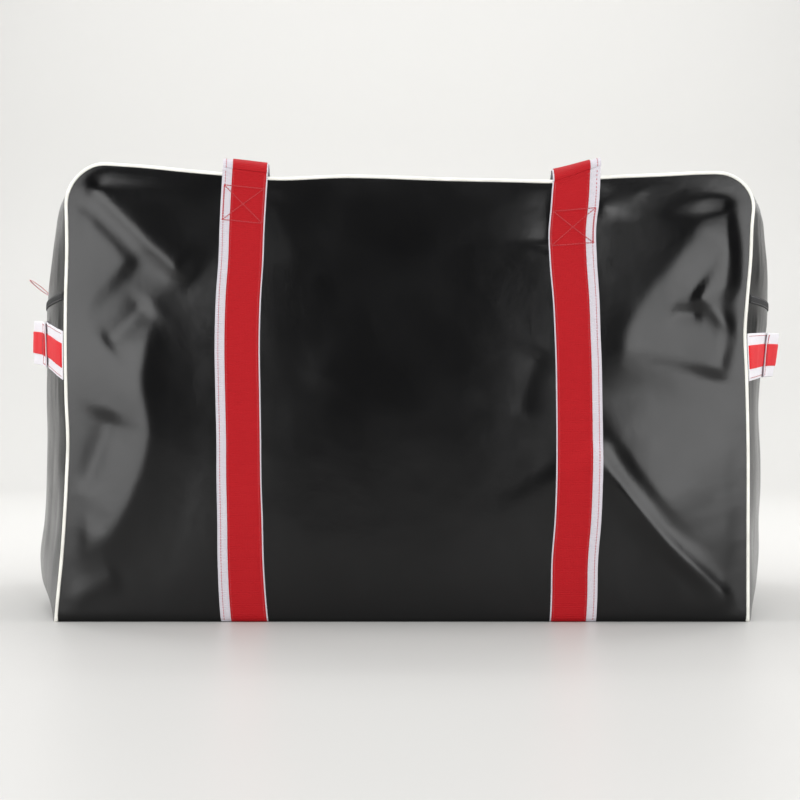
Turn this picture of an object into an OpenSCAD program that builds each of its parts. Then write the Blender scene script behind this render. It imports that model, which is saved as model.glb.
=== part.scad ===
// Equipment bag: a coated-fabric duffle with flat front and back panels, bulging ends,
// a lid that unzips along its middle into two flaps, two carry handles whose webbing runs
// down the panels, and a webbing grab handle on each end.
// Origin: middle of the footprint, on the floor. +X along the bag, -Y is the front, +Z up.

/* [Bag] */
// Length of the front panel, over its piping
bag_l = 755; // [700:1:820]
// Height to the top of the piping
bag_h = 487; // [470:1:510]
// Depth between the outer faces of the front and back panels
bag_d = 456; // [440:2:500]
// Radius of the top corners, over the piping
corner_r = 44; // [36:1:52]
// Thickness of the coated fabric
wall = 2; // [1.5:0.1:2.2]
// Diameter of the piping round the front and back panels
piping_d = 4; // [3:0.5:4]
// How far each end bulges out below its seam
end_bulge = 50; // [46:1:56]
// How far the left end bulges out at the lid
left_top_bulge = 28; // [24:1:34]
// How far the right end bulges out at the lid
right_top_bulge = 46; // [36:1:50]
// Height of the seam across each end
end_seam_z = 350; // [346:1:356]
// How far the closed lid sags along the zip
lid_sag = 8; // [4:1:10]

/* [Webbing] */
// Width of the webbing
webbing_w = 50.8; // [48:0.1:52]
// Thickness of the white base webbing
webbing_t = 1.4; // [1:0.1:1.6]
// Width of the red stripe webbing on the carry straps
stripe_w = 38.1; // [34:0.1:40]
// Thickness of the red stripe webbing
stripe_t = 1.0; // [0.6:0.1:1.2]
// Width of base webbing left showing on the inner side of the stripe
stripe_inset = 1.5; // [1:0.1:2]
// Distance of each carry strap from the middle of the bag
strap_x = 180; // [160:1:200]

/* [Carry handles] */
// Radius of the fold where a handle leaves the top edge
fold_r = 11; // [9:0.5:12]
// Distance of the grip from the middle of the lid
grip_y = 70; // [60:1:90]
// Radius of the handle's corners, at mid webbing
handle_corner_r = 60; // [50:1:80]
// Top of the box stitching on the left straps
left_box_top = 473; // [450:1:476]
// Top of the box stitching on the right straps
right_box_top = 452; // [440:1:476]
// Height of each stitched box
box_h = 38; // [30:1:44]

/* [End handles] */
// Height of the middle of the end webbing at its front and back seams
end_band_z = 287; // [280:1:290]
// Rise of the left end webbing towards its middle
left_rise = 25; // [10:1:26]
// Rise of the right end webbing towards its middle
right_rise = 9; // [0:1:26]
// Width of the red stripe on the end webbing
end_stripe_w = 25.4; // [22:0.1:28]
// How far the grab loop stands off the end panel, over the webbing
loop_stand = 21; // [17:0.5:24]
// Half length of the grab loop between its sewn tabs
loop_half = 105; // [100:1:120]
// Half length of the part of the loop that swings
swing_half = 70; // [60:1:75]
// Length of each sewn tab
tab_l = 30; // [20:1:40]

/* [Zip] */
// Half width of the slot between the gussets and between the lid flaps
slot_half = 14; // [12:0.5:16]
// Half width of the zip tape
tape_half = 20; // [18:0.5:24]
// Half width of the zip chain
chain_half = 3.5; // [3:0.1:4]
// Height of the middle of the closed slider
slider_z = 366; // [365:1:372]
// Angle of the pull above the horizontal
pull_angle = 38; // [20:1:50]
// Length of the pull from its pin to the ribbon's tip
pull_l = 35; // [19:0.5:38]

/* [Hidden] */
$fn = 64;

half_l = bag_l / 2;
half_d = bag_d / 2;
piping_r = piping_d / 2;
clear = 0.1;                        // between surfaces sewn to each other
vinyl = [0.05, 0.05, 0.055];
lining = [0.12, 0.12, 0.13];
white = [0.88, 0.86, 0.88];
red = [0.74, 0.09, 0.13];
metal = [0.7, 0.7, 0.72];

// Front and back panels and their piping
panel_half = half_l - piping_d;
panel_top = bag_h - piping_d;
panel_r = corner_r - piping_d;
corner_x = half_l - corner_r;
corner_z = bag_h - corner_r;
piping_y = half_d - piping_r;       // flush with the panel's outer face
seam_y = half_d - piping_d - clear; // where gussets and end panels start, behind the piping

// Lid
flap_half = corner_x - 2;
flap_gap = 0.5;                     // between a flap's ends and the gussets
flap_edge_y = seam_y - 0.2;         // stays clear of the piping while the flap swings round it
tape_depth = wall + 0.4;            // outer face of the zip tape, below the fabric's outer face
tape_t = 0.8;
chain_proud = 0.3;
chain_start_z = end_seam_z + 8;

// Straps
strap_y = half_d + clear;           // back face of the base webbing
stripe_y = strap_y + webbing_t + clear;
strap_top = bag_h + 2;
strap_bottom = 0.5;
outer_margin = webbing_w - stripe_w - stripe_inset;
thread_t = 0.4;
thread_w = 1.2;

// Ends: the bulge is a parabola from front seam to back seam, and the end leans in above
// its own seam
end_x0 = half_l - 1;
function belly(y) = 1 - pow(y / half_d, 2);
function end_x(y) = end_x0 + end_bulge * belly(y);
function lean(y, top) = atan((end_bulge - top) * belly(y) / (bag_h - end_seam_z));
function lid_z(y) = bag_h - lid_sag * belly(y);
function upper_x(y, z, top) = end_x(y) - (z - end_seam_z) * tan(lean(y, top));
function steps(a, b, n) = [for (i = [0:n]) a + (b - a) * i / n];

// Outline of an upper end at depth y, from height z0 up, round the corner and along to the
// lid, on a surface that lies `deep` inside the fabric's outer face. `top` is the end's
// bulge at the lid
arc_steps = 6;
function gusset_section(y, deep, z0, top) =
    let (a = lean(y, top), zc = lid_z(y) - corner_r,
         xc = upper_x(y, zc, top) - corner_r / cos(a), r = corner_r - deep)
    concat([[upper_x(y, z0, top) - deep / cos(a), y, z0]],
           [for (t = steps(a, 90, arc_steps)) [xc + r * cos(t), y, zc + r * sin(t)]],
           [[flap_half + flap_gap, y, lid_z(y) - deep]]);

// Closed solid between two grids of points that match row by row
module sheet(outer, inner) {
    n = len(outer);
    m = len(outer[0]);
    points = concat([for (row = outer) for (p = row) p], [for (row = inner) for (p = row) p]);
    function o(i, j) = i * m + j;
    function q(i, j) = n * m + i * m + j;
    function quad(a, b, c, d) = [[a, b, c], [a, c, d]];
    skins = [for (i = [0:n - 2]) for (j = [0:m - 2])
        for (f = concat(quad(o(i, j), o(i, j + 1), o(i + 1, j + 1), o(i + 1, j)),
                        quad(q(i, j), q(i + 1, j), q(i + 1, j + 1), q(i, j + 1)))) f];
    row_edges = [for (i = [0:n - 2])
        for (f = concat(quad(o(i + 1, 0), q(i + 1, 0), q(i, 0), o(i, 0)),
                        quad(o(i, m - 1), q(i, m - 1), q(i + 1, m - 1), o(i + 1, m - 1)))) f];
    column_edges = [for (j = [0:m - 2])
        for (f = concat(quad(o(0, j), q(0, j), q(0, j + 1), o(0, j + 1)),
                        quad(o(n - 1, j + 1), q(n - 1, j + 1), q(n - 1, j), o(n - 1, j)))) f];
    polyhedron(points, concat(skins, row_edges, column_edges));
}

// Shapes are drawn once, at the front or at the right end
module at_back() mirror([0, 1, 0]) children();
module at_left() mirror([1, 0, 0]) children();

// Extrudes a profile drawn in Y and Z along X, centred
module along_x(length) translate([-length / 2, 0, 0]) rotate([90, 0, 90]) linear_extrude(length) children();

// --- Panels ---
module panel_outline() {
    translate([-panel_half, 0]) square([2 * panel_half, corner_z]);
    translate([-corner_x, 0]) square([2 * corner_x, panel_top]);
    for (s = [-1, 1]) translate([s * corner_x, corner_z]) circle(panel_r, $fn = 96);
}

module face_panel() color(vinyl)
    translate([0, wall - half_d, 0]) rotate([90, 0, 0]) linear_extrude(wall) panel_outline();

module piping_run() color(white) translate([0, -piping_y, 0]) {
    for (s = [-1, 1]) translate([s * (half_l - piping_r), 0, 0]) cylinder(h = corner_z, r = piping_r);
    translate([-corner_x, 0, bag_h - piping_r]) rotate([0, 90, 0]) cylinder(h = 2 * corner_x, r = piping_r);
    for (s = [0, 1]) mirror([s, 0, 0]) translate([corner_x, 0, corner_z]) rotate([90, 0, 0])
        rotate_extrude(angle = 90) translate([corner_r - piping_r, 0]) circle(piping_r);
}

end_rows = steps(-seam_y, seam_y, 16);

module bottom_panel() color(vinyl) linear_extrude(wall) {
    for (s = [0, 1]) mirror([s, 0]) polygon(concat([[0, -seam_y]],
        [for (y = end_rows) [end_x(y) - wall, y]], [[0, seam_y]]));
    square([2 * panel_half, 2 * (half_d - wall)], center = true);
}

module end_panel() color(vinyl) linear_extrude(end_seam_z) polygon(concat(
    [for (y = end_rows) [end_x(y), y]],
    [for (i = [len(end_rows) - 1:-1:0]) [end_x(end_rows[i]) - wall, end_rows[i]]]));

module front_gusset(top) color(vinyl) {
    rows = steps(-seam_y, -slot_half, 8);
    sheet([for (y = rows) gusset_section(y, 0, end_seam_z, top)],
          [for (y = rows) gusset_section(y, wall, end_seam_z, top)]);
}

module end_binding(top) {
    reach = 5;
    heights = [end_seam_z - reach, end_seam_z, end_seam_z + reach];
    function at(y, z, out) = [(z > end_seam_z ? upper_x(y, z, top) : end_x(y)) + out, y, z];
    color(vinyl) sheet([for (y = end_rows) [for (z = heights) at(y, z, 1.3)]],
                       [for (y = end_rows) [for (z = heights) at(y, z, 0.15)]]);
}

// --- Zip on the ends ---
module end_strip(half_w, out, deep, z0, top) {
    rows = steps(-half_w, half_w, 4);
    sheet([for (y = rows) gusset_section(y, -out, z0, top)],
          [for (y = rows) gusset_section(y, deep, z0, top)]);
}

module end_zip_tape(top) color(lining)
    end_strip(tape_half, -tape_depth, tape_depth + tape_t, end_seam_z, top);

module end_zip_chain(top) color(lining)
    end_strip(chain_half, chain_proud, tape_depth - 0.05, chain_start_z, top);

// Puts its children on the zip line at height z: local +X points out of the bag, +Z up the zip
module on_zip(z, top)
    translate([upper_x(0, z, top), 0, z]) rotate([0, -lean(0, top), 0]) children();

module end_stop(top) color(metal) on_zip(chain_start_z, top) translate([-tape_depth + 0.1, -4.2, -2.6])
    cube([tape_depth + 1.2, 8.4, 2.4]);

module end_stops() {
    end_stop(right_top_bulge);
    at_left() end_stop(left_top_bulge);
}

// --- Straps sewn to the panels ---
module strap() color(white) translate([strap_x - webbing_w / 2, -strap_y - webbing_t, strap_bottom])
    cube([webbing_w, webbing_t, strap_top - strap_bottom]);

module strap_stripe() color(red)
    translate([strap_x - webbing_w / 2 + stripe_inset, -stripe_y - stripe_t, strap_bottom])
        cube([stripe_w, stripe_t, strap_top - strap_bottom]);

// Stitched box with crossed diagonals, drawn flat with its lower inner corner at the origin
module box_cross(w, h) {
    difference() {
        square([w, h]);
        translate([thread_w, thread_w]) square([w - 2 * thread_w, h - 2 * thread_w]);
    }
    tilt = atan(h / w);
    intersection() {
        square([w, h]);
        for (s = [-1, 1]) translate([w / 2, h / 2]) rotate(s * tilt) square([w + h, thread_w], center = true);
    }
}

// The thread lies on the red stripe, and steps down onto the white margin beside it
module box_stitch(top) color(red) {
    edge = 3;
    w = webbing_w - 2 * edge;
    step_x = stripe_inset + stripe_w - edge;
    translate([strap_x - webbing_w / 2 + edge, 0, top - box_h]) rotate([90, 0, 0]) {
        translate([0, 0, stripe_y + stripe_t]) linear_extrude(thread_t) intersection() {
            box_cross(w, box_h);
            square([step_x, box_h]);
        }
        translate([0, 0, strap_y + webbing_t]) linear_extrude(thread_t) intersection() {
            box_cross(w, box_h);
            translate([step_x + clear, 0]) square([w, box_h]);
        }
    }
}

module box_stitches() {
    box_stitch(right_box_top);
    at_left() box_stitch(left_box_top);
}

// --- Webbing on the ends ---
function band_z(y, rise) = end_band_z + rise * belly(y);
function loop_out(y) = webbing_t + 2 * stripe_t + 2 * clear + webbing_t
    + (loop_stand - 2 * webbing_t - 2 * stripe_t) * max(0, 1 - pow(y / loop_half, 2));

// Strip of webbing across an end: rows are its depths, out(y) its outer face past the panel
module end_webbing(rows, rise, half_w, outs, t) {
    function edge(i, out, s) = [end_x(rows[i]) + out, rows[i], band_z(rows[i], rise) + s * half_w];
    n = len(rows) - 1;
    sheet([for (i = [0:n]) [for (s = [-1, 1]) edge(i, outs[i], s)]],
          [for (i = [0:n]) [for (s = [-1, 1]) edge(i, outs[i] - t, s)]]);
}

module end_band(rise) color(white)
    end_webbing(end_rows, rise, webbing_w / 2, [for (y = end_rows) clear + webbing_t], webbing_t);

module end_band_stripe(rise) color(red)
    end_webbing(end_rows, rise, end_stripe_w / 2,
        [for (y = end_rows) 2 * clear + webbing_t + stripe_t], stripe_t);

module loop_piece(y0, y1, n, rise) color(white) {
    rows = steps(y0, y1, n);
    end_webbing(rows, rise, webbing_w / 2, [for (y = rows) loop_out(y)], webbing_t);
}

module loop_piece_stripe(y0, y1, n, rise) color(red) {
    rows = steps(y0, y1, n);
    end_webbing(rows, rise, end_stripe_w / 2, [for (y = rows) loop_out(y) + clear + stripe_t], stripe_t);
}

tab_inner = swing_half + 1;
tab_outer = loop_half + tab_l;

module loop_tabs(rise) for (s = [0, 1]) mirror([0, s, 0]) loop_piece(tab_inner, tab_outer, 8, rise);

module loop_tab_stripes(rise)
    for (s = [0, 1]) mirror([0, s, 0]) loop_piece_stripe(tab_inner, tab_outer, 8, rise);

module grab_loop(rise) loop_piece(-swing_half, swing_half, 14, rise);

module grab_loop_stripe(rise) loop_piece_stripe(-swing_half, swing_half, 14, rise);

// --- Lid flaps ---
// Strip under the lid's curve between two depths, `top` to `bottom` below its outer face
module lid_strip(y0, y1, top, bottom, n) {
    rows = steps(y0, y1, n);
    polygon(concat([for (y = rows) [y, lid_z(y) - top]],
                   [for (i = [n:-1:0]) [rows[i], lid_z(rows[i]) - bottom]]));
}

module flap() color(vinyl) along_x(2 * flap_half) lid_strip(-flap_edge_y, -slot_half, 0, wall, 10);

module flap_zip_tape() color(lining)
    along_x(2 * flap_half) lid_strip(-tape_half, -1, tape_depth, tape_depth + tape_t, 2);

module flap_zip_teeth() color(lining)
    along_x(2 * flap_half) lid_strip(-chain_half, -0.4, -chain_proud, tape_depth - 0.05, 1);

// --- Carry handles ---
// The fold over the top edge: up off the strap, over, down a short slope and out onto the lid
slope = 40;
slope_l = 12.5;
settle_r = 14;
fold_z = strap_top + 2.2;
fold_y = -strap_y - webbing_t / 2 + fold_r;
slope_start = [fold_y + fold_r * sin(slope), fold_z + fold_r * cos(slope)];
slope_end = slope_start + slope_l * [cos(slope), -sin(slope)];
settle_c = slope_end + settle_r * [sin(slope), cos(slope)];
lay_y = settle_c[0];
lay_z = settle_c[1] - settle_r;

// Fold line moved outwards (up) by `out` from mid webbing
function fold_line(out) = concat(
    [for (t = steps(180, 90 - slope, 12)) [fold_y, fold_z] + (fold_r + out) * [cos(t), sin(t)]],
    [for (t = steps(-90 - slope, -90, 6)) settle_c + (settle_r - out) * [cos(t), sin(t)]],
    [[lay_y + 1, lay_z + out]]);

module fold_profile(low, high) {
    under = fold_line(low);
    polygon(concat(fold_line(high), [for (i = [len(under) - 1:-1:0]) under[i]]));
}

// Outline of a handle's outer or inner edge, `off` from mid webbing, from the fold to the grip
module handle_outline(off, start) {
    r = handle_corner_r + off;
    end_y = -grip_y + off - lay_y;
    turn_y = -grip_y - handle_corner_r - lay_y;
    straight_x = strap_x - handle_corner_r;
    translate([-strap_x - off, start]) square([2 * (strap_x + off), turn_y - start]);
    translate([-straight_x, start]) square([2 * straight_x, end_y - start]);
    for (s = [-1, 1]) translate([s * straight_x, turn_y]) intersection() {
        circle(r, $fn = 96);
        translate([-r, 0]) square([2 * r, r]);
    }
}

// Handle layer between `low` and `high` above mid webbing, `outer` and `inner` wide of it
module handle_layer(low, high, outer, inner) {
    for (s = [0, 1]) mirror([s, 0, 0]) translate([strap_x + (outer - inner) / 2, 0, 0])
        along_x(outer + inner) fold_profile(low, high);
    translate([0, lay_y, lay_z + low]) linear_extrude(high - low) difference() {
        handle_outline(outer, 0);
        handle_outline(-inner, -1);
    }
}

half_w = webbing_w / 2;
module handle() color(white) handle_layer(-webbing_t / 2, webbing_t / 2, half_w, half_w);

module handle_stripe() color(red)
    handle_layer(webbing_t / 2 + clear, webbing_t / 2 + clear + stripe_t,
        half_w - outer_margin, half_w - stripe_inset);

// --- Slider and pull, drawn on the right and mirrored to the left end ---
slider_w = 10;
slider_l = 14;
slider_low = 0.7;
slider_top = 3;
flange_t = 0.9;
pin_x = 5.2;
pin_r = 0.8;
bore_r = 0.86;
tab_w = 4.8;
tab_t = 1.2;
tab_reach = 9;
ribbon_w = 7;
ribbon_t = 1.8;
ribbon_start = 6.5;

module slider_body() color(metal) on_zip(slider_z, left_top_bulge) {
    translate([slider_low, 0, 0]) rotate([0, 90, 0]) linear_extrude(slider_top - slider_low) hull() {
        translate([-slider_l / 2 + 3, 0]) for (s = [-1, 1]) translate([0, s * (slider_w / 2 - 3)]) circle(3);
        translate([slider_l / 2 - 1.5, 0]) for (s = [-1, 1]) translate([0, s * 2]) circle(1.5);
    }
    for (s = [-1, 1]) translate([-1.2, s * (slider_w / 2 - flange_t / 2) - flange_t / 2, -1])
        cube([slider_low + 1.3, flange_t, 5]);
    for (s = [-1, 1]) translate([slider_top - 0.1, s * 3.4 - 0.7, -1.8]) cube([pin_x + 1.3 - slider_top, 1.4, 3.6]);
    translate([pin_x, 0, 0]) rotate([90, 0, 0]) cylinder(h = 8, r = pin_r, center = true);
}

// Local +X runs from the pin to the ribbon's tip
module on_pull() on_zip(slider_z, left_top_bulge) translate([pin_x, 0, 0])
    rotate([0, lean(0, left_top_bulge) - pull_angle, 0]) children();

module pull_tab() color(metal) on_pull() difference() {
    union() {
        rotate([90, 0, 0]) cylinder(h = tab_w, r = 1.8, center = true);
        translate([0, -tab_w / 2, -tab_t / 2]) cube([tab_reach, tab_w, tab_t]);
    }
    rotate([90, 0, 0]) cylinder(h = tab_w + 2, r = bore_r, center = true);
}

module pull_ribbon() color(white) on_pull() difference() {
    translate([ribbon_start, -ribbon_w / 2, -ribbon_t / 2]) cube([pull_l - ribbon_start, ribbon_w, ribbon_t]);
    translate([ribbon_start - 1, -tab_w / 2 - clear, -tab_t / 2 - clear])
        cube([tab_reach - ribbon_start + 1 + clear, tab_w + 2 * clear, tab_t + 2 * clear]);
}

face_panel();  // front_panel
at_back() face_panel();  // back_panel
bottom_panel();
at_left() end_panel();  // left_end_panel
end_panel();  // right_end_panel
at_left() front_gusset(left_top_bulge);  // left_front_gusset
at_left() at_back() front_gusset(left_top_bulge);  // left_back_gusset
front_gusset(right_top_bulge);  // right_front_gusset
at_back() front_gusset(right_top_bulge);  // right_back_gusset
at_left() end_binding(left_top_bulge);  // left_end_binding
end_binding(right_top_bulge);  // right_end_binding
piping_run();  // front_piping
at_back() piping_run();  // back_piping
at_left() end_zip_tape(left_top_bulge);  // left_zip_tape
end_zip_tape(right_top_bulge);  // right_zip_tape
at_left() end_zip_chain(left_top_bulge);  // left_zip_chain
end_zip_chain(right_top_bulge);  // right_zip_chain
end_stops();  // zip_end_stops
at_left() strap();  // front_left_strap
strap();  // front_right_strap
at_left() at_back() strap();  // back_left_strap
at_back() strap();  // back_right_strap
at_left() strap_stripe();  // front_left_stripe
strap_stripe();  // front_right_stripe
at_left() at_back() strap_stripe();  // back_left_stripe
at_back() strap_stripe();  // back_right_stripe
box_stitches();  // front_box_stitching
at_back() box_stitches();  // back_box_stitching
at_left() end_band(left_rise);  // left_end_band
end_band(right_rise);  // right_end_band
at_left() end_band_stripe(left_rise);  // left_end_band_stripe
end_band_stripe(right_rise);  // right_end_band_stripe
at_left() loop_tabs(left_rise);  // left_loop_tabs
loop_tabs(right_rise);  // right_loop_tabs
at_left() loop_tab_stripes(left_rise);  // left_loop_tab_stripes
loop_tab_stripes(right_rise);  // right_loop_tab_stripes
at_left() grab_loop(left_rise);  // left_grab_loop
grab_loop(right_rise);  // right_grab_loop
at_left() grab_loop_stripe(left_rise);  // left_grab_loop_stripe
grab_loop_stripe(right_rise);  // right_grab_loop_stripe
flap();  // front_flap
flap_zip_tape();  // front_flap_zip_tape
flap_zip_teeth();  // front_flap_zip_teeth
at_back() flap();  // back_flap
at_back() flap_zip_tape();  // back_flap_zip_tape
at_back() flap_zip_teeth();  // back_flap_zip_teeth
handle();  // front_handle
handle_stripe();  // front_handle_stripe
at_back() handle();  // back_handle
at_back() handle_stripe();  // back_handle_stripe
at_left() slider_body();  // zip_slider
at_left() pull_tab();  // zip_pull_tab
at_left() pull_ribbon();  // zip_pull_ribbon
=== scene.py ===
"""Looks of the hockey equipment bag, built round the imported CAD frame. Metres, +Z up, front towards -Y.

Every soft piece is first laid out on the bag's plain shape, which is worked out from the frame, and is
then moved by one shared function, warp(), so that pieces that meet at a seam still meet after it.
"""
import math

import bpy
import numpy as np
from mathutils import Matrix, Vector, noise


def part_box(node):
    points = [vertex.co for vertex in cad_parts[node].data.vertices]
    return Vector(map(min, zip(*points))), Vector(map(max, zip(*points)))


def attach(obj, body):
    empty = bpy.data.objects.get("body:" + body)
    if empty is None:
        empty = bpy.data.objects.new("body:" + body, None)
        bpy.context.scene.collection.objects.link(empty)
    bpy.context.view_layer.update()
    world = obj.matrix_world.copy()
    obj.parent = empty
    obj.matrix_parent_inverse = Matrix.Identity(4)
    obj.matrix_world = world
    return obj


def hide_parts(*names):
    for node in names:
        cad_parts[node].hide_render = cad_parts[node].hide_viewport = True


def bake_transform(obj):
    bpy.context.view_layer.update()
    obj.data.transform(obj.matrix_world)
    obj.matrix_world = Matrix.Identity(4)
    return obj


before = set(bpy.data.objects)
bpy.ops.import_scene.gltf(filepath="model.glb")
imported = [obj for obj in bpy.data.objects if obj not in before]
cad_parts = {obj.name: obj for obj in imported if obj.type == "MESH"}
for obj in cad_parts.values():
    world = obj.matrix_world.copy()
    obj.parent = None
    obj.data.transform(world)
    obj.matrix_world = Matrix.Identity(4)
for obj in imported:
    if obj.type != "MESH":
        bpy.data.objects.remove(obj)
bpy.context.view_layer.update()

# ---------------------------------------------------------------- sizes, from the frame
MM = 0.001
PIPING_LOW, PIPING_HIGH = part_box("front_piping")
HALF_L, BAG_H, HALF_D = PIPING_HIGH.x, PIPING_HIGH.z, -PIPING_LOW.y
PIPING_R = (PIPING_HIGH.y - PIPING_LOW.y) / 2
END_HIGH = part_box("right_end_panel")[1]
SEAM_Z = END_HIGH.z
END_X0 = HALF_L - 1 * MM
BULGE = END_HIGH.x - END_X0
TOP_BULGE = {-1: 28 * MM, 1: 46 * MM}
CORNER_R = 44 * MM
LID_SAG = 8 * MM
WALL = 2 * MM
SEAM_Y = END_HIGH.y
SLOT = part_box("back_flap")[0].y
TAPE_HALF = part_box("back_flap_zip_tape")[1].y
HINGE_Y, HINGE_Z = HALF_D - PIPING_R, BAG_H - PIPING_R
STRAP_LOW, STRAP_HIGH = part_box("front_right_strap")
STRAP_X = (STRAP_LOW.x + STRAP_HIGH.x) / 2
WEBBING_W = STRAP_HIGH.x - STRAP_LOW.x
WEBBING_T = STRAP_HIGH.y - STRAP_LOW.y
STRIPE_LOW, STRIPE_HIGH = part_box("front_right_stripe")
STRIPE_T = STRIPE_HIGH.y - STRIPE_LOW.y
STRIPE_IN = STRIPE_LOW.x - STRAP_LOW.x
STRIPE_OUT = STRAP_HIGH.x - STRIPE_HIGH.x
END_STRIPE_W = 25.4 * MM
BOX_H = 38 * MM
MARGIN_IN, STRIPE_GAP = 3.8 * MM, .05 * MM
BOX_TOP = {-1: 473 * MM, 1: 452 * MM}


# ---------------------------------------------------------------- small helpers
def ramp(x, low, high):
    """0 below low, 1 above high, smooth in between."""
    t = np.clip((x - low) / (high - low), 0, 1)
    return t * t * (3 - 2 * t)


def curve(*knots):
    """A smooth function through (position, value) knots, level beyond the ends. Values are in mm."""
    at = np.array([k[0] for k in knots], float)
    value = np.array([k[1] for k in knots], float) * MM
    slope = np.gradient(value, at)

    def f(x):
        x = np.clip(np.asarray(x, float), at[0], at[-1])
        i = np.clip(np.searchsorted(at, x) - 1, 0, len(at) - 2)
        h = at[i + 1] - at[i]
        s = (x - at[i]) / h
        return ((1 + 2 * s) * (1 - s) ** 2 * value[i] + s * (1 - s) ** 2 * h * slope[i]
                + s * s * (3 - 2 * s) * value[i + 1] + s * s * (s - 1) * h * slope[i + 1])
    return f


def lumps(points, scale, seed, octaves=2):
    """Smooth noise from about -1 to 1 at each point, with features of about `scale` metres."""
    flat = np.asarray(points, float).reshape(-1, 3) / scale + seed * 17.31
    found = np.array([noise.fractal(Vector(p), 0.9, 2.0, octaves) for p in flat])
    return found.reshape(np.asarray(points).shape[:-1])


def unit(v):
    return v / np.maximum(np.linalg.norm(v, axis=-1, keepdims=True), 1e-12)


def run_length(path):
    """Distance along a path at each of its points."""
    return np.concatenate([[0], np.cumsum(np.linalg.norm(np.diff(path, axis=0), axis=1))])


# ---------------------------------------------------------------- the bag's plain shape
def belly(y):
    return 1 - (y / HALF_D) ** 2


def end_x(y):
    return END_X0 + BULGE * belly(y)


def lid_z(y):
    return BAG_H - LID_SAG * belly(y)


def lid_section(y, side, out=0.0, line=24, arc=12, top=60, z0=None):
    """Points and outward normals up the upper end at depth y, round the corner and along the lid to x = 0."""
    z0 = SEAM_Z if z0 is None else z0
    lean = math.atan((BULGE - TOP_BULGE[side]) * belly(y) / (BAG_H - SEAM_Z))
    zc = lid_z(y) - CORNER_R
    at = lambda z: end_x(y) - (z - SEAM_Z) * math.tan(lean)
    xc = at(zc) - CORNER_R / math.cos(lean)
    points, normals = [], []
    z_arc = zc + CORNER_R * math.sin(lean)
    for z in np.linspace(z0, z_arc, line, endpoint=False):
        normals.append((math.cos(lean), 0, math.sin(lean)))
        points.append((at(z), y, z))
    for t in np.linspace(lean, math.pi / 2, arc, endpoint=False):
        normals.append((math.cos(t), 0, math.sin(t)))
        points.append((xc + CORNER_R * math.cos(t), y, zc + CORNER_R * math.sin(t)))
    for x in np.linspace(xc, 0, top + 1):
        normals.append((0, 0, 1))
        points.append((x, y, lid_z(y)))
    points, normals = np.array(points), np.array(normals, float)
    points = points + normals * out
    points[-1, 0] = 0
    flip = np.array([side, 1, 1])
    return points * flip, normals * flip


# How the stuffed bag departs from its plain shape. The knots are edges measured along rows and columns of
# the photo, turned into metres (place) and millimetres (amount), and fitted until the render matched them.
LEFT_PULL = curve((0, -4.4), (.024, -2.2), (.068, 2.2), (.111, 5.3), (.155, 7.7), (.198, 9.2), (.242, 7.4),
                  (.351, 6.8), (.395, 8.1), (.427, 7.8), (.46, 6.8), (.487, 6.6))
RIGHT_PULL = curve((0, -.6), (.1, -.6), (.19, -.6), (.27, -2.4), (.316, -4), (.351, -1.4), (.395, 2.4),
                   (.427, 3.7), (.46, 6.8), (.487, 7.5))
TOP_RISE = curve((-.375, 11), (-.336, 14.4), (-.315, 13.4), (-.288, 11.5), (-.244, 7.2), (-.198, 3.2),
                 (-.146, -1.6),
                 (-.064, .7), (.05, -2.6), (.126, -4.2), (.157, -5), (.212, -.6), (.279, 2.6), (.32, 4.6),
                 (.36, 4.8),
                 (.375, 5))
LEFT_SWELL = curve((0, -16), (.012, -9), (.03, 2), (.055, 7), (.102, 2.7), (.15, 0), (.2, 0), (.43, 0),
                   (.487, 0))
RIGHT_SWELL = curve((0, -21), (.01, -16), (.055, -5.5), (.1, -4), (.15, -2.4), (.195, -2.4), (.242, -4),
                    (.3, 3),
                    (.33, 8), (.359, 9), (.405, 7), (.44, 1.6), (.487, 0))
STRAP_DRIFT = {-1: curve((0, 7), (.024, 4.9), (.068, 2.2), (.111, 1.1), (.155, -.5), (.2, -1.1), (.242, -1.6),
                         (.307, -2.2), (.351, -1.1), (.395, 1.6), (.427, 2.7), (.46, 4.4), (.498, 6.5)),
               1: curve((0, 4), (.024, 4.9), (.068, 5.5), (.111, 8.7), (.155, 10.2), (.242, 10.4),
                        (.307, 9.3),
                        (.351, 7.1), (.395, 3.3), (.427, 2.2), (.46, 4.7), (.498, 7))}
FOLD_TILT = {(-1, -1): .03, (-1, 1): .27, (1, -1): .05, (1, 1): -.06}
BACK_SHARE = 0.55


def warp(p):
    """Moves points of the plain shape to the shape of the stuffed bag."""
    p = np.array(p, float)
    x, y, z = p[..., 0].copy(), p[..., 1], p[..., 2].copy()
    seam = np.clip((y / HALF_D) ** 2, 0, 1) * np.where(y < 0, 1, BACK_SHARE)
    p[..., 0] += LEFT_PULL(z) * ramp(-x, .12, .36) * seam + RIGHT_PULL(z) * ramp(x, .12, .36) * seam
    p[..., 2] += TOP_RISE(x) * ramp(z, .2, .47) * seam
    fullness = np.clip(belly(y), 0, 1) * ramp(np.abs(x), .36, .40)
    p[..., 0] += fullness * np.where(x < 0, -LEFT_SWELL(z), RIGHT_SWELL(z))
    return p


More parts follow.
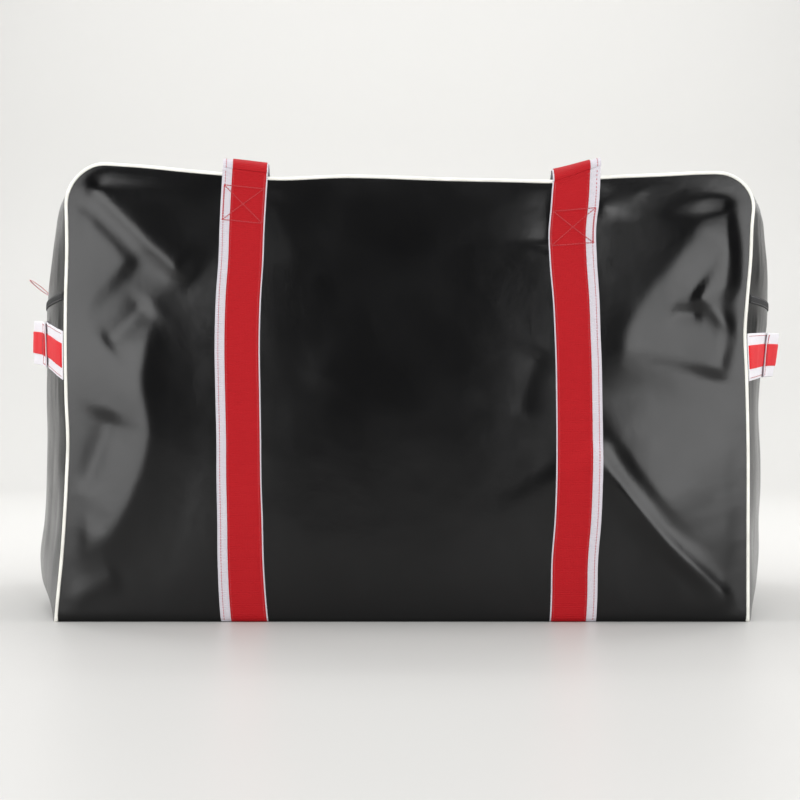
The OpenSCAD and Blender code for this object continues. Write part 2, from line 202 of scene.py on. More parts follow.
# ---------------------------------------------------------------- folds and dents of the big panels
def fold(x, z, line, height, left, right, ends=.2, round_off=2.5):
    """Height of one fold along a line of (x, z) points. It falls away over `left` and `right`, as seen going along
    the line. All in mm but the line."""
    line = np.array(line, float)
    t = np.linspace(0, len(line) - 1, 8 * (len(line) - 1) + 1)
    knots = np.arange(len(line))
    path = np.stack([np.interp(t, knots, line[:, 0]), np.interp(t, knots, line[:, 1])], -1)
    for _ in range(8):
        path[1:-1] = (path[:-2] + 2 * path[1:-1] + path[2:]) / 4
    a, d = path[:-1], np.diff(path, axis=0)
    q = np.stack([x, z], -1)[..., None, :] - a
    along = np.clip((q * d).sum(-1) / (d * d).sum(-1), 0, 1)
    miss = q - along[..., None] * d
    distance = np.hypot(miss[..., 0], miss[..., 1])
    nearest = distance.argmin(-1)
    pick = lambda v: np.take_along_axis(v, nearest[..., None], -1)[..., 0]
    turn = pick(d[:, 0] * q[..., 1] - d[:, 1] * q[..., 0]) / np.maximum(pick(distance),
                                                                        1e-6) / np.hypot(*d[0])
    share = (nearest + pick(along)) / len(a)
    r = np.sqrt(pick(distance) ** 2 + (round_off * MM) ** 2) - round_off * MM
    reach = right + (left - right) * ramp(turn, -.6, .6)
    taper = ramp(share, 0, ends) * (1 - ramp(share, 1 - ends, 1))
    return height * MM * taper * np.exp(-(r / (reach * MM)) ** 1.25)


FRONT_FOLDS = [
    # low on the right: a sharp ridge and the valley above it
    ([(.200, .200), (.218, .171), (.245, .133), (.275, .095), (.303, .068), (.331, .043), (.366, .008)],
     4.2, 9, 55, .1),
    ([(.214, .182), (.246, .138), (.290, .084), (.325, .052), (.372, .012)], 5.2, 80, 11, .4),
    ([(.208, .244), (.232, .204), (.263, .160), (.298, .116), (.335, .084)], 3.0, 60, 13, .4),
    ([(.262, .080), (.285, .052), (.315, .022)], .8, 9, 18),
    # the tall triangle at the top right
    ([(.338, .466), (.315, .420), (.293, .384), (.257, .346), (.242, .305), (.236, .240)], 4.2, 60, 34),
    ([(.341, .462), (.346, .425), (.356, .385), (.368, .345)], 3.6, 12, 40),
    # creases pulled in by the end handle on the right
    ([(.314, .356), (.326, .349), (.338, .341), (.354, .327), (.372, .314)], 3.2, 20, 8),
    ([(.292, .338), (.306, .333), (.326, .336)], -1.5, 7, 8),
    ([(.372, .318), (.358, .302), (.346, .285), (.340, .262)], 2.6, 11, 34),
    # beside the right strap
    ([(.210, .486), (.216, .466), (.212, .440)], 2.2, 18, 8),
    ([(.158, .482), (.157, .446), (.155, .405)], -2.4, 8, 30),
    ([(.245, .486), (.250, .476), (.258, .462)], 1.0, 6, 8),
    ([(.150, .300), (.135, .262), (.128, .220)], -1.2, 10, 26),
    # the streak from the top left corner, and the dark band below it
    ([(-.366, .486), (-.340, .455), (-.307, .425), (-.280, .402), (-.255, .384), (-.232, .362)], 4.6, 38, 13),
    ([(-.373, .444), (-.345, .414), (-.322, .394), (-.298, .370)], 2.4, 12, 55),
    ([(-.334, .296), (-.316, .310), (-.298, .328), (-.284, .346)], -2.0, 12, 18),
    # the curved ridge on the left
    ([(-.270, .372), (-.284, .320), (-.293, .264), (-.286, .225), (-.284, .196), (-.296, .155), (-.318, .100),
      (-.345, .078), (-.371, .062)], 4.6, 30, 42),
    ([(-.326, .232), (-.336, .205), (-.347, .175), (-.360, .140)], -2.2, 13, 20),
    ([(-.371, .018), (-.340, .036), (-.308, .054)], 1.7, 22, 11),
    # small pulls in the middle
    ([(-.150, .482), (-.128, .430), (-.112, .380)], .9, 16, 26),
    ([(-.060, .030), (.010, .050), (.080, .036)], .7, 18, 22),
    ([(-.100, .250), (-.070, .300), (-.020, .330)], .6, 22, 26),
]
BACK_FOLDS = [
    ([(-.371, .014), (-.318, .056), (-.262, .120), (-.215, .200)], 5.0, 10, 46),
    ([(.366, .480), (.310, .430), (.250, .380)], 3.8, 12, 36),
    ([(-.350, .462), (-.318, .385), (-.270, .300), (-.255, .230)], 3.6, 30, 46),
    ([(.262, .300), (.286, .220), (.300, .150), (.350, .080)], 3.8, 34, 28),
    ([(-.060, .460), (-.030, .390), (.020, .330)], 1.4, 22, 30),
    ([(.060, .040), (.020, .090), (-.040, .120)], 1.4, 24, 24),
    ([(-.372, .316), (-.346, .332), (-.316, .344)], 2.6, 9, 20),
    ([(.372, .300), (.340, .322), (.312, .326)], 2.4, 18, 9),
]
PILLOW = 7 * MM
HEM, HEM_H = 3.5 * MM, 9 * MM
PANEL_HALF = HALF_L - 2 * PIPING_R
PANEL_TOP = BAG_H - 2 * PIPING_R


def face_swell(x, z, face):
    """How far the front (face -1) or back (face 1) panel stands out at x, z. It is 0 along its seams."""
    x, z = np.asarray(x, float), np.asarray(z, float)
    u, v = np.clip(np.abs(x) / PANEL_HALF, 0, 1), np.clip(np.abs(2 * z / PANEL_TOP - 1), 0, 1)
    swell = PILLOW * (1 - u ** 4) * (1 - v ** 4)
    points = np.stack([x, np.full_like(x, face * HALF_D), z], -1)
    seeds = (3, 4) if face < 0 else (5, 6)
    dents = 1.1 * MM * lumps(points, .17, seeds[0]) + .25 * MM * lumps(points, .055, seeds[1])
    for f in FRONT_FOLDS if face < 0 else BACK_FOLDS:
        dents = dents + fold(x, z, *f)
    edge = np.minimum(PANEL_HALF - np.abs(x), np.minimum(PANEL_TOP - z, z + 6 * MM))
    corner = np.hypot(np.maximum(np.abs(x) - (HALF_L - CORNER_R), 0), np.maximum(z - (BAG_H - CORNER_R), 0))
    edge = np.minimum(edge, CORNER_R - 2 * PIPING_R - corner)
    return swell + dents * ramp(edge, 0, .028)


def on_face(x, z, face, out=0.0):
    """Points of the front or back panel at the plain position x, z."""
    x, z = np.broadcast_arrays(np.asarray(x, float), np.asarray(z, float))
    p = np.stack([x, np.full(x.shape, face * HALF_D), z], -1)
    p = warp(p)
    hem = HEM * (1 - np.clip(z / HEM_H, 0, 1)) ** 2
    p[..., 1] += face * (face_swell(x, z, face) + out - hem)
    return p


# ---------------------------------------------------------------- meshes
def mesh_object(name, points, faces, material, uv=None):
    mesh = bpy.data.meshes.new(name)
    mesh.from_pydata([tuple(p) for p in np.asarray(points).reshape(-1, 3)], [], [tuple(f) for f in faces])
    mesh.validate()
    mesh.polygons.foreach_set("use_smooth", [True] * len(mesh.polygons))
    if uv is not None:
        layer = mesh.uv_layers.new(name="Weave")
        index = np.zeros(len(mesh.loops), int)
        mesh.loops.foreach_get("vertex_index", index)
        layer.data.foreach_set("uv", np.asarray(uv, float).reshape(-1, 2)[index].ravel())
    mesh.materials.append(material)
    piece = bpy.data.objects.new(name, mesh)
    bpy.context.scene.collection.objects.link(piece)
    return piece


def grid_normals(grid):
    return unit(np.cross(np.gradient(grid, axis=0), np.gradient(grid, axis=1)))


def with_rims(grid, near=.05):
    """The grid with one more line of points just inside each border, so that the rim stays crisp."""
    for _ in range(2):
        first = grid[:1] * (1 - near) + grid[1:2] * near
        last = grid[-1:] * (1 - near) + grid[-2:-1] * near
        grid = np.concatenate([grid[:1], first, grid[1:-1], last, grid[-1:]]).swapaxes(0, 1)
    return grid


def shell(name, grid, thickness, material, outward):
    """A closed sheet: the grid is its outer face. `outward` is a direction that the outer face looks in."""
    grid = with_rims(grid)
    n, m = grid.shape[:2]
    normals = grid_normals(grid)
    if (normals.reshape(-1, 3) @ np.array(outward, float)).sum() < 0:
        grid = grid[:, ::-1]
        normals = -normals[:, ::-1]
    points = np.concatenate([grid.reshape(-1, 3), (grid - normals * thickness).reshape(-1, 3)])
    o = lambda i, j: i * m + j
    q = lambda i, j: n * m + i * m + j
    cells = [(i, j) for i in range(n - 1) for j in range(m - 1)]
    faces = [(o(i, j), o(i + 1, j), o(i + 1, j + 1), o(i, j + 1)) for i, j in cells]
    faces += [(q(i, j), q(i, j + 1), q(i + 1, j + 1), q(i + 1, j)) for i, j in cells]
    skins = len(faces)
    for i in range(n - 1):
        faces.append((o(i, 0), q(i, 0), q(i + 1, 0), o(i + 1, 0)))
        faces.append((o(i, m - 1), o(i + 1, m - 1), q(i + 1, m - 1), q(i, m - 1)))
    for j in range(m - 1):
        faces.append((o(0, j), o(0, j + 1), q(0, j + 1), q(0, j)))
        faces.append((o(n - 1, j), q(n - 1, j), q(n - 1, j + 1), o(n - 1, j + 1)))
    lengths = [np.linalg.norm(np.diff(grid, axis=a), axis=-1).mean(1 - a) for a in (0, 1)]
    v, u = (np.concatenate([[0], np.cumsum(step)]) for step in lengths)
    uv = np.stack(np.broadcast_arrays(u[None, :], v[:, None]), -1).reshape(-1, 2)
    piece = mesh_object(name, points, faces, material, np.concatenate([uv, uv]))
    smooth = np.arange(len(faces)) < skins
    piece.data.polygons.foreach_set("use_smooth", smooth)
    return piece


def tube_faces(n, m):
    """Faces of n rings with m points each, closed at both ends."""
    faces = [(i * m + j, i * m + (j + 1) % m, (i + 1) * m + (j + 1) % m, (i + 1) * m + j)
             for i in range(n - 1) for j in range(m)]
    return faces + [tuple(range(m))[::-1], tuple((n - 1) * m + j for j in range(m))]


def sweep(name, path, across, normal, section, material):
    """A strip or tube: section points (across, out) carried along a path. UV is across and along, in metres."""
    path, across, normal = (np.asarray(v, float) for v in (path, across, normal))
    section = np.asarray(section, float)
    n, m = len(path), len(section)
    points = (path[:, None] + across[:, None] * section[None, :, :1] + normal[:, None] * section[None, :, 1:])
    length = run_length(path)
    uv = np.stack(np.broadcast_arrays(section[None, :, 0], length[:, None]), -1)
    faces = tube_faces(n, m)
    turn = np.cross(across[0], normal[0]) @ (path[1] - path[0])
    if turn > 0:
        faces = [f[::-1] for f in faces]
    return mesh_object(name, points, faces, material, uv)


def flat_section(low, high, bottom, top, crown=0.0, columns=6):
    """Section of webbing from `low` to `high` across and `bottom` to `top` out, with rounded edges."""
    r = (top - bottom) / 2
    mid = (top + bottom) / 2
    right = [(high - r + r * math.cos(t), mid + r * math.sin(t)) for t in np.linspace(-math.pi / 2,
                                                                                      math.pi / 2, 5)]
    left = [(low + r + r * math.cos(t), mid + r * math.sin(t)) for t in np.linspace(math.pi / 2,
                                                                                    1.5 * math.pi, 5)]
    inner = np.linspace(high - r, low + r, columns + 2)[1:-1]
    half = (high - low) / 2
    over = [(u, top + crown * (1 - ((u - (low + high) / 2) / half) ** 2)) for u in inner]
    return right + over + left + [(u, bottom) for u in inner[::-1]]


def round_section(radius, sides=12):
    return [(radius * math.cos(t), radius * math.sin(t)) for t in np.linspace(0, 2 * math.pi, sides,
                                                                              endpoint=False)]


def capsules(name, centres, along, normal, length, radius, material, flatness=0.7, sides=6):
    """Many small rounded rods in one mesh: stitches, or the teeth of a zip."""
    centres, along, normal = (np.asarray(v, float) for v in (centres, along, normal))
    across = unit(np.cross(along, normal))
    rings = [(-.5, .3), (-.36, .85), (0, 1), (.36, .85), (.5, .3)]
    turns = np.linspace(0, 2 * math.pi, sides, endpoint=False)
    local = np.array([(t * length, r * radius * math.cos(a), r * radius * flatness * math.sin(a))
                      for t, r in rings for a in turns])
    points = (centres[:, None] + along[:, None] * local[None, :, :1] + across[:, None] * local[None, :, 1:2]
              + normal[:, None] * local[None, :, 2:])
    one = tube_faces(len(rings), sides)
    k = len(local)
    faces = [tuple(v + c * k for v in f) for c in range(len(centres)) for f in one]
    return mesh_object(name, points, faces, material)


def stitch_line(path, normal, pitch=3.2 * MM):
    """Centres, directions and normals of the stitches along a path."""
    path, normal = np.asarray(path, float), np.asarray(normal, float)
    length = run_length(path)
    at = np.arange(pitch / 2, length[-1], pitch)
    pick = lambda v, s: np.stack([np.interp(s, length, v[:, k]) for k in range(3)], -1)
    along = unit(pick(path, np.minimum(at + MM, length[-1])) - pick(path, np.maximum(at - MM, 0)))
    return pick(path, at), along, unit(pick(normal, at))


def stitches(name, lines, material, length=2.3 * MM, radius=.42 * MM):
    found = [stitch_line(*line) for line in lines]
    return capsules(name, *(np.concatenate([f[k] for f in found]) for k in range(3)), length, radius,
                    material)


# ---------------------------------------------------------------- materials
def add(tree, kind, inputs=None, **settings):
    made = tree.nodes.new("ShaderNode" + kind)
    for key, value in settings.items():
        setattr(made, key, value)
    for key, value in (inputs or {}).items():
        if isinstance(value, bpy.types.NodeSocket):
            tree.links.new(value, made.inputs[key])
        else:
            made.inputs[key].default_value = value
    return made


def new_material(name, colour, roughness, **inputs):
    made = bpy.data.materials.new(name)
    made.use_nodes = True
    tree = made.node_tree
    tree.nodes.clear()
    shader = add(tree, "BsdfPrincipled", {"Base Color": (*colour, 1), "Roughness": roughness})
    for key, value in inputs.items():
        shader.inputs[key.replace("_", " ")].default_value = value
    output = add(tree, "OutputMaterial")
    tree.links.new(shader.outputs[0], output.inputs["Surface"])
    return made, tree, shader


def math_node(tree, operation, a, b=0.0):
    return add(tree, "Math", {0: a, 1: b}, operation=operation).outputs[0]


def object_noise(tree, scale, detail=2.0, stretch=(1, 1, 1)):
    where = add(tree, "TexCoord").outputs["Object"]
    mapped = add(tree, "Mapping", {"Vector": where, "Scale": stretch}).outputs[0]
    return add(tree, "TexNoise", {"Vector": mapped, "Scale": scale, "Detail": detail}).outputs["Fac"]


def weave(tree, pitch_u, pitch_v):
    """Height of a woven surface: threads across and along the piece's own width and length."""
    uv = add(tree, "UVMap", uv_map="Weave").outputs[0]
    split = add(tree, "SeparateXYZ", {0: uv})
    u = math_node(tree, "SINE", math_node(tree, "MULTIPLY", split.outputs[0], 2 * math.pi / pitch_u))
    v = math_node(tree, "SINE", math_node(tree, "MULTIPLY", split.outputs[1], 2 * math.pi / pitch_v))
    return math_node(tree, "MULTIPLY", u, v), split.outputs[0], v


def tint(tree, shader, colour, dark, factor):
    mixed = add(tree, "Mix", {"Factor": factor, "A": (*dark, 1), "B": (*colour, 1)}, data_type="RGBA")
    for socket in mixed.inputs:
        if socket.type == "RGBA":
            socket.default_value = (*(dark if socket.name == "A" else colour), 1)
    tree.links.new([s for s in mixed.outputs if s.type == "RGBA"][0], shader.inputs["Base Color"])


def spread(tree, value, low, high, to_low, to_high):
    return add(tree, "MapRange", {0: value, 1: low, 2: high, 3: to_low, 4: to_high}).outputs[0]


def bump(tree, shader, height, distance, strength=1.0):
    made = add(tree, "Bump", {"Height": height, "Distance": distance, "Strength": strength})
    tree.links.new(made.outputs[0], shader.inputs["Normal"])


def vinyl_material():
    made, tree, shader = new_material("black_vinyl", (.0016, .0016, .0018), .22, Specular_IOR_Level=.32)
    grain = object_noise(tree, 1500, 2)
    dents = object_noise(tree, 46, 3)
    smears = object_noise(tree, 9, 4)
    rough = math_node(tree, "ADD", spread(tree, smears, .3, .7, .19, .25),
                      spread(tree, grain, .3, .7, -.02, .02))
    tree.links.new(rough, shader.inputs["Roughness"])
    scrim, _, _ = weave(tree, 1.9 * MM, 1.9 * MM)
    height = math_node(tree, "ADD", math_node(tree, "MULTIPLY", scrim, .05),
                       math_node(tree, "MULTIPLY", grain, .25))
    bump(tree, shader, math_node(tree, "ADD", height, math_node(tree, "MULTIPLY", dents, 1.5)), .16 * MM)
    tint(tree, shader, (.0020, .0020, .0022), (.0013, .0013, .0015), smears)
    return made


def webbing_material(name, colour, dark, pitch_u=1.7 * MM, pitch_v=2.4 * MM, roughness=.62, depth=.16 * MM):
    made, tree, shader = new_material(name, colour, roughness, Specular_IOR_Level=.2)
    height, _, ribs = weave(tree, pitch_u, pitch_v)
    fuzz = object_noise(tree, 700, 3)
    # The mix paints shade into the weave's valleys (painted shade), and the fuzz adds random tone on top.
    factor = math_node(tree, "ADD", spread(tree, height, -1, 1, .35, .9),
                       spread(tree, fuzz, .3, .7, -.15, .15))
    tint(tree, shader, colour, dark, factor)
    both = math_node(tree, "ADD", height, math_node(tree, "MULTIPLY", ribs, .7))
    bump(tree, shader, math_node(tree, "ADD", both, fuzz), depth)
    return made


def thread_material(name, colour, dark):
    made, tree, shader = new_material(name, colour, .5, Sheen_Weight=.2)
    twist = object_noise(tree, 1800, 2, (1, 1, .4))
    tint(tree, shader, colour, dark, twist)
    bump(tree, shader, twist, .12 * MM)
    return made


def piping_material():
    made, tree, shader = new_material("piping", (.80, .79, .73), .38)
    wear = object_noise(tree, 40, 4)
    fine = object_noise(tree, 900, 2)
    tint(tree, shader, (.83, .82, .76), (.66, .65, .60), spread(tree, wear, .25, .6, 0, 1))
    tree.links.new(spread(tree, fine, .3, .7, .32, .46), shader.inputs["Roughness"])
    bump(tree, shader, math_node(tree, "ADD", wear, math_node(tree, "MULTIPLY", fine, .3)), .25 * MM)
    return made


def teeth_material():
    made, tree, shader = new_material("zip_teeth", (.02, .02, .021), .36)
    fine = object_noise(tree, 700, 2)
    tint(tree, shader, (.026, .026, .028), (.012, .012, .013), fine)
    bump(tree, shader, fine, .08 * MM)
    return made


def metal_material():
    made, tree, shader = new_material("zip_metal", (.42, .42, .43), .3, Metallic=1.0)
    wear = object_noise(tree, 350, 4)
    tint(tree, shader, (.55, .55, .56), (.2, .2, .21), spread(tree, wear, .35, .6, 0, 1))
    tree.links.new(spread(tree, wear, .3, .7, .45, .24), shader.inputs["Roughness"])
    bump(tree, shader, wear, .06 * MM)
    return made


def ribbon_material():
    made, tree, shader = new_material("pull_ribbon", (.82, .80, .80), .6, Sheen_Weight=.15)
    height, across, ribs = weave(tree, 1.2 * MM, 1.2 * MM)
    edge = math_node(tree, "GREATER_THAN", math_node(tree, "ABSOLUTE", across), 2.1 * MM)
    tint(tree, shader, (.78, .03, .05), (.82, .80, .80), edge)
    bump(tree, shader, math_node(tree, "ADD", height, ribs), .1 * MM)
    return made


VINYL = vinyl_material()
WHITE = webbing_material("white_webbing", (.66, .63, .68), (.48, .45, .50))
RED = webbing_material("red_webbing", (.46, .003, .009), (.28, .001, .003))
# The ends' webbing is the straps' webbing in brighter colours: painted light, for ends that face away from the
# softboxes.
PAINTED_LIGHT_RED = webbing_material("end_red_webbing_painted_light", (.78, .012, .022), (.52, .005, .010))
PAINTED_LIGHT_WHITE = webbing_material("end_white_webbing_painted_light", (.84, .82, .86), (.66, .64, .68))
THREAD = thread_material("red_thread", (.50, .008, .018), (.30, .004, .01))
DARK_THREAD = thread_material("black_thread", (.02, .02, .021), (.008, .008, .009))
PIPING = piping_material()
BINDING = webbing_material("binding", (.016, .016, .017), (.007, .007, .008), 1.1 * MM, 1.1 * MM, .7, .1 * MM)
TAPE = webbing_material("zip_tape", (.018, .018, .019), (.008, .008, .009), 1.3 * MM, .9 * MM, .75, .12 * MM)
TEETH = teeth_material()
METAL = metal_material()
RIBBON = ribbon_material()

for cad_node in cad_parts.values():
    cad_node.data.materials.clear()
    cad_node.data.materials.append(METAL)

# ---------------------------------------------------------------- holding pieces to the CAD bodies
NAME = {-1: "front", 1: "back"}
SIDE = {-1: "left", 1: "right"}


def hold(piece, nodes, body=None, bend=None):
    if nodes:
        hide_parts(*nodes)
    if bend:
        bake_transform(piece)
    else:
        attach(piece, body)
    return piece


def lid_bend(face, side):
    return ("bag", NAME[face] + "_flap", (side * .375, face * .12, .48), (side * .200, face * .12, .48))


def strap_bend(face, x):
    return ("bag", NAME[face] + "_flap", (x, face * .229, .474), (x, face * .229, .491))


def band(name, lay, stations, section, material):
    """Webbing laid on a surface. lay(across, along) gives the surface's points and normals."""
    section = np.array(section)
    along, across = np.meshgrid(stations, section[:, 0], indexing="ij")
    points, normals = lay(across, along)
    points = points + normals * section[None, :, 1:]
    middle = points[:, len(section) // 2]
    length = run_length(middle)
    uv = np.stack(np.broadcast_arrays(section[None, :, 0], length[:, None]), -1)
    n, m = across.shape
    faces = tube_faces(n, m)
    top = int(section[:, 1].argmax())
    t = points[n // 2, (top + 1) % m] - points[n // 2, top]
    if np.cross(t, points[n // 2 + 1, top] - points[n // 2, top]) @ normals[n // 2, top] < 0:
        faces = [f[::-1] for f in faces]
    return mesh_object(name, points, faces, material, uv)


def laid_stitches(name, lay, lines, material, out, pitch=3.2 * MM, length=2.3 * MM, radius=.42 * MM):
    """Rows of stitches on a surface: each line is a list of (across, along) points."""
    rows = []
    for line in (np.array(line, float) for line in lines):
        steps = run_length(line)
        at = np.arange(pitch / 2, steps[-1], pitch)
        pick = lambda s: [np.interp(np.clip(s, 0, steps[-1]), steps, line[:, k]) for k in (0, 1)]
        p, n = lay(*pick(at))
        q, _ = lay(*pick(at + MM))
        r, _ = lay(*pick(at - MM))
        height = out(*pick(at)) if callable(out) else out
        rows.append((p + n * np.reshape(height, (-1, 1)), unit(q - r), n))
    return capsules(name, *(np.concatenate([row[k] for row in rows]) for k in range(3)), length, radius,
                    material)


# ---------------------------------------------------------------- front and back panels
def panel_grid(face):
    z = np.concatenate([np.linspace(0, 8 * MM, 6)[:-1], np.linspace(8 * MM, BAG_H - CORNER_R, 92)[:-1]])
    turn = np.linspace(0, math.pi / 2, 12)
    r = CORNER_R - 2 * PIPING_R
    z = np.concatenate([z, BAG_H - CORNER_R + r * np.sin(turn)])
    half = PANEL_HALF - r + r * np.sqrt(np.clip(1 - (np.maximum(z - (BAG_H - CORNER_R), 0) / r) ** 2, 0, 1))
    u = np.linspace(-1, 1, 171)
    return on_face(u[None, :] * half[:, None], z[:, None] + 0 * u[None, :], face)


def make_panels():
    for face in (-1, 1):
        piece = shell(NAME[face] + "_panel_skin", panel_grid(face), WALL, VINYL, (0, face, 0))
        hold(piece, [NAME[face] + "_panel"], body="bag")


def make_piping():
    r = CORNER_R - PIPING_R
    turn = np.linspace(0, math.pi / 2, 16)
    up = [(HALF_L - PIPING_R, z) for z in np.linspace(.4 * MM, BAG_H - CORNER_R, 90)[:-1]]
    corner = [(HALF_L - CORNER_R + r * math.cos(t), BAG_H - CORNER_R + r * math.sin(t)) for t in turn]
    over = [(x, HINGE_Z) for x in np.linspace(HALF_L - CORNER_R, -(HALF_L - CORNER_R), 150)[1:-1]]
    left = [(-x, z) for x, z in (up + corner)[::-1]]
    line = np.array(up + corner + over + left)
    for face in (-1, 1):
        path = warp(np.stack([line[:, 0], np.full(len(line), face * HINGE_Y), line[:, 1]], -1))
        along = unit(np.gradient(path, axis=0))
        normal = np.tile([0.0, face, 0.0], (len(path), 1))
        across = unit(np.cross(along, normal))
        piece = sweep(NAME[face] + "_piping_cord", path, across, normal, round_section(PIPING_R * 1.08, 12),
                      PIPING)
        hold(piece, [NAME[face] + "_piping"], body="bag")


# ---------------------------------------------------------------- ends, bottom and lid
def end_detail(p):
    """Outward displacement of the ends: fine upright wrinkles and broad dents, and none at the seams."""
    y, z = p[..., 1], p[..., 2]
    side = np.sign(p[..., 0])
    fine = lumps(p * np.array([1, 1 / .017, 1 / .13]) * np.array([0, 1, 1]) + side[..., None] * 7, 1, 11, 2)
    broad = lumps(p * np.array([0, 1, 1]) + side[..., None] * .3, .11, 12, 2)
    fade = 1 - ramp(np.abs(y), SEAM_Y - .03, SEAM_Y)
    fade = fade * ramp(np.abs(z - SEAM_Z), .004, .03) * ramp(z, 0, .03)
    fade = fade * np.where(z > SEAM_Z, ramp(np.abs(y), TAPE_HALF + .002, TAPE_HALF + .04), 1)
    upper = ramp(z, .20, .34)
    return fade * (fine * (.35 + 1.0 * upper) + broad * 2.2) * MM


def end_surface(y, z, side):
    """Points and normals of the lower end, before the loads that webbing puts on it."""
    y, z = np.broadcast_arrays(np.asarray(y, float), np.asarray(z, float))
    p = np.stack([side * end_x(y), y, z], -1)
    slope = 2 * BULGE * y / HALF_D ** 2
    n = unit(np.stack([np.full_like(y, side), slope, 0 * y], -1))
    return warp(p + n * end_detail(p)[..., None]), n


def make_ends():
    y = SEAM_Y * np.sin(np.linspace(-math.pi / 2, math.pi / 2, 97) * .82) / math.sin(math.pi / 2 * .82)
    z = np.linspace(0, SEAM_Z, 72)
    for side in (-1, 1):
        grid, _ = end_surface(y[None, :], z[:, None], side)
        piece = shell(SIDE[side] + "_end_skin", grid, WALL, VINYL, (side, 0, 0))
        hold(piece, [SIDE[side] + "_end_panel"], body="bag")


def make_bottom():
    y = np.linspace(-SEAM_Y, SEAM_Y, 41)
    u = np.linspace(-1, 1, 81)
    x = u[None, :] * (end_x(y)[:, None] - 1 * MM)
    grid = warp(np.stack([x, y[:, None] + 0 * x, 0 * x], -1))
    piece = shell("bottom_skin", grid, WALL, VINYL, (0, 0, -1))
    hold(piece, ["bottom_panel"], body="bag")


def lid_detail(p):
    """Outward displacement of the lid and the upper ends, which meets end_detail at the corner."""
    y, z = p[..., 1], p[..., 2]
    on_top = ramp(z, BAG_H - CORNER_R - LID_SAG, BAG_H - LID_SAG)
    broad = lumps(p * np.array([1, 1, 0]), .13, 21, 2) * 2.4
    broad = broad + lumps(p * np.array([1, 1.6, 0]), .045, 22, 1) * .8
    fade = 1 - ramp(np.abs(y), SEAM_Y - .03, SEAM_Y)
    fade = fade * ramp(np.abs(y), TAPE_HALF + .002, TAPE_HALF + .04)
    return end_detail(p) * (1 - on_top) + broad * MM * fade * on_top


def lid_grid(face, side, lanes):
    rows = []
    for y in lanes:
        p, n = lid_section(face * y, side)
        rows.append(warp(p + n * lid_detail(p)[:, None]))
    return np.array(rows)


def make_lid():
    lanes = np.linspace(SLOT, SEAM_Y, 50)
    for face in (-1, 1):
        for side in (-1, 1):
            grid = lid_grid(face, side, lanes)
            piece = shell("lid_%s_%s" % (NAME[face], SIDE[side]), grid, WALL, VINYL, (side * .3, 0, 1))
            nodes = ["%s_%s_gusset" % (SIDE[side], NAME[face]), NAME[face] + "_flap"]
            hold(piece, nodes, bend=lid_bend(face, side))


def lane(face, side, y, out):
    """A line up the end and along the lid at depth y, with its normals."""
    p, n = lid_section(face * y, side, out)
    return warp(p), n


def make_zip():
    for face in (-1, 1):
        for side in (-1, 1):
            tag = "%s_%s" % (NAME[face], SIDE[side])
            grid = np.array([lane(face, side, y, -2.4 * MM)[0] for y in np.linspace(1 * MM, TAPE_HALF, 9)])
            piece = shell("zip_tape_" + tag, grid, .8 * MM, TAPE, (side * .3, 0, 1))
            nodes = [SIDE[side] + "_zip_tape", NAME[face] + "_flap_zip_tape"]
            hold(piece, nodes, bend=lid_bend(face, side))
            piece = zip_teeth("zip_teeth_" + tag, face, side)
            nodes = [SIDE[side] + "_zip_chain", NAME[face] + "_flap_zip_teeth"]
            hold(piece, nodes, bend=lid_bend(face, side))
            rows = [lane(face, side, y, -1.9 * MM) for y in (5.6 * MM, 12.2 * MM)]
            rows += [lane(face, side, SLOT + 2.6 * MM, .15 * MM)]
            piece = stitches("zip_stitches_" + tag, rows, DARK_THREAD)
            hold(piece, [], bend=lid_bend(face, side))


def zip_teeth(name, face, side):
    path, normal = lane(face, side, 2.0 * MM, -.7 * MM)
    length = run_length(path)
    at = np.arange(9 * MM + (0 if face < 0 else 1.4 * MM), length[-1], 2.8 * MM)
    pick = lambda v: np.stack([np.interp(at, length, v[:, k]) for k in range(3)], -1)
    normals = unit(pick(normal))
    along = np.tile([0.0, 1.0, 0.0], (len(at), 1))
    return capsules(name, pick(path), along, normals, 4.6 * MM, 1.0 * MM, TEETH, .9, 8)


def make_bindings():
    y = np.linspace(-SEAM_Y, SEAM_Y, 81)
    for side in (-1, 1):
        def lay(across, along, side=side):
            z = SEAM_Z + across
            lean = np.arctan((BULGE - TOP_BULGE[side]) * belly(along) / (BAG_H - SEAM_Z))
            x = end_x(along) - np.maximum(across, 0) * np.tan(lean)
            n = unit(np.stack([np.full_like(along, side), 2 * BULGE * along / HALF_D ** 2, 0 * along], -1))
            return warp(np.stack([side * x, along, z], -1)), n
        section = flat_section(-4.4 * MM, 4.4 * MM, -.2 * MM, .7 * MM, .4 * MM, 5)
        piece = band(SIDE[side] + "_end_seam_tape", lay, y, section, BINDING)
        hold(piece, [SIDE[side] + "_end_binding"], body="bag")
        rows = [[(u, v) for v in np.linspace(-SEAM_Y + 4 * MM, SEAM_Y - 4 * MM, 40)]
                for u in (-3.1 * MM, 3.1 * MM)]
        piece = laid_stitches(SIDE[side] + "_end_seam_stitches", lay, rows, DARK_THREAD, .9 * MM)
        hold(piece, [], body="bag")


# ---------------------------------------------------------------- carry straps and handles
STRAP_TOP = 489 * MM
FOLD_R, SLOPE, SLOPE_L, SETTLE_R = 11 * MM, math.radians(40), 12.5 * MM, 14 * MM
FOLD_Y, FOLD_Z = -(HALF_D + .1 * MM + WEBBING_T / 2) + FOLD_R, STRAP_TOP + 2.2 * MM
GRIP_Y, HANDLE_R = 70 * MM, 60 * MM


def drift(face, side, z):
    """How far a strap wanders sideways at height z. The back straps wander less, and the other way."""
    return STRAP_DRIFT[side](z) * (1 if face < 0 else -.5)


def fold_tilt(face, side, across):
    return FOLD_TILT[face, side] * across


